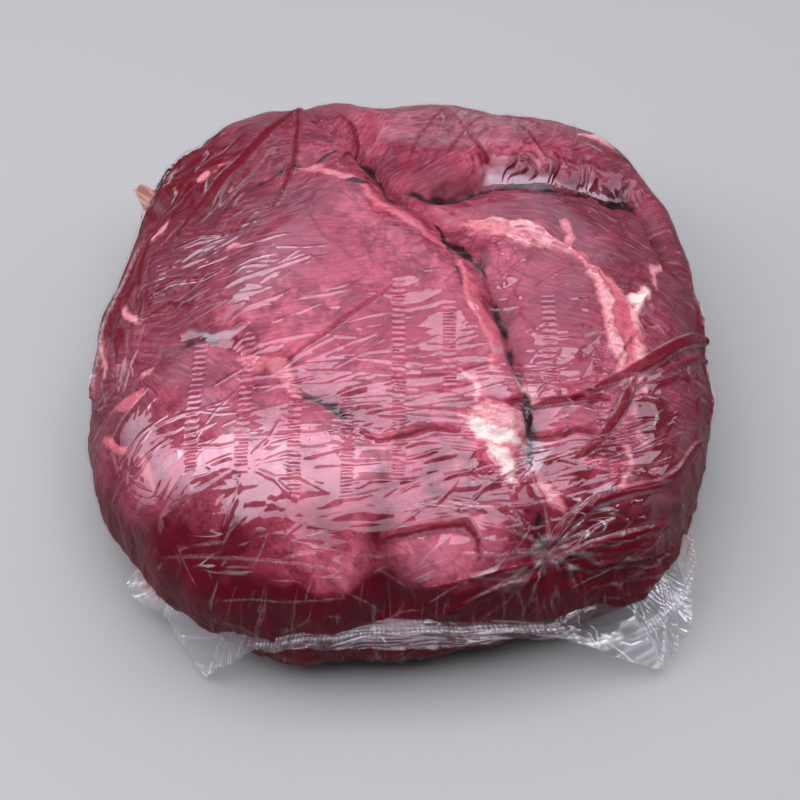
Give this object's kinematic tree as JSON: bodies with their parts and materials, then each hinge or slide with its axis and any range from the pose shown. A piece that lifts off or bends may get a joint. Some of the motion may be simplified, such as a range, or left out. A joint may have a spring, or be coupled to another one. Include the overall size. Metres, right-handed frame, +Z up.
{
  "type": "beef rump heart",
  "caption": "A boneless block of beef rump, shrink-packed in clear film, with dark clefts between its lobes, pale fat, and a clear seal skirt along one side.",
  "frame": {"origin": "on the table, under the middle of the pack's box", "axes": "+Z up from the flat spot that the pack lies on, -Y towards the heat-sealed end with its clear skirt, +X to the right seen from that end"},
  "size_m": [0.2556, 0.2652, 0.0963],
  "materials": {
    "meat": "moist dark mauve-red meat with pale fat, under film",
    "film": "clear high-gloss shrink film"
  },
  "bodies": {
    "root": {"vacuum_packed_beef": "meat"}
  },
  "joints": []
}
